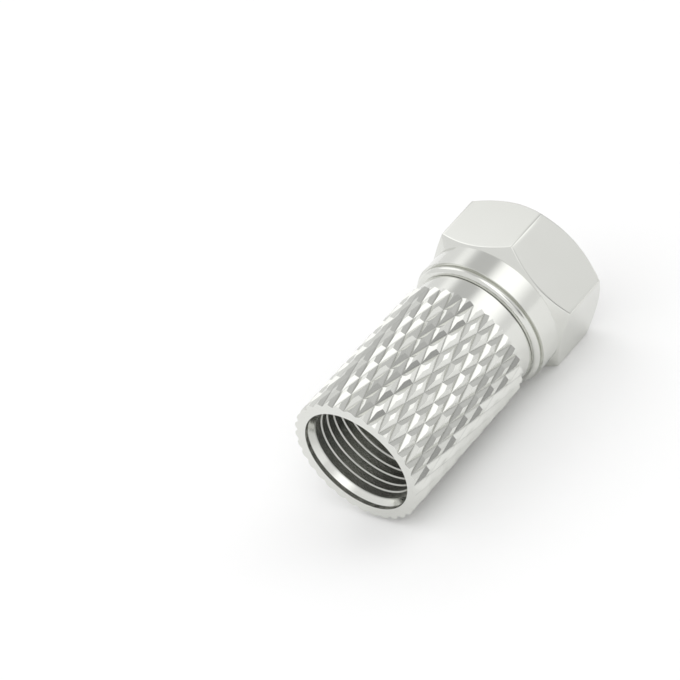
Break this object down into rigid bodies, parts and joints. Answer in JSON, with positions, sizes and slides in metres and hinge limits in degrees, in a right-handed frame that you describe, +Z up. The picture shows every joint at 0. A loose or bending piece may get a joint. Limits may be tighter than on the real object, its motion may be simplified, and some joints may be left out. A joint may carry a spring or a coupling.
{
  "type": "f connector",
  "caption": "Screw-on coaxial cable plug: a knurled sleeve grips the cable's jacket and carries a freely turning hexagonal coupling nut with an internal thread.",
  "frame": {"origin": "centre of the footprint, on the surface that the plug lies on with a flat of its nut down", "axes": "+X along the plug's axis, from the cable end to the port end; +Z up, square to the flat that the nut lies on"},
  "size_m": [0.022, 0.0128, 0.011],
  "materials": {
    "sleeve_plating": "polished",
    "nut_plating": "polished"
  },
  "bodies": {
    "sleeve": {"knurled_sleeve": "sleeve_plating"},
    "nut": {"coupling_nut": "nut_plating"}
  },
  "joints": [
    {"name": "nut_spin", "type": "hinge", "parent": "sleeve", "child": "nut", "pos_m": [0.00392, 0, 0.0055], "axis": [1, 0, 0], "continuous": true}
  ]
}
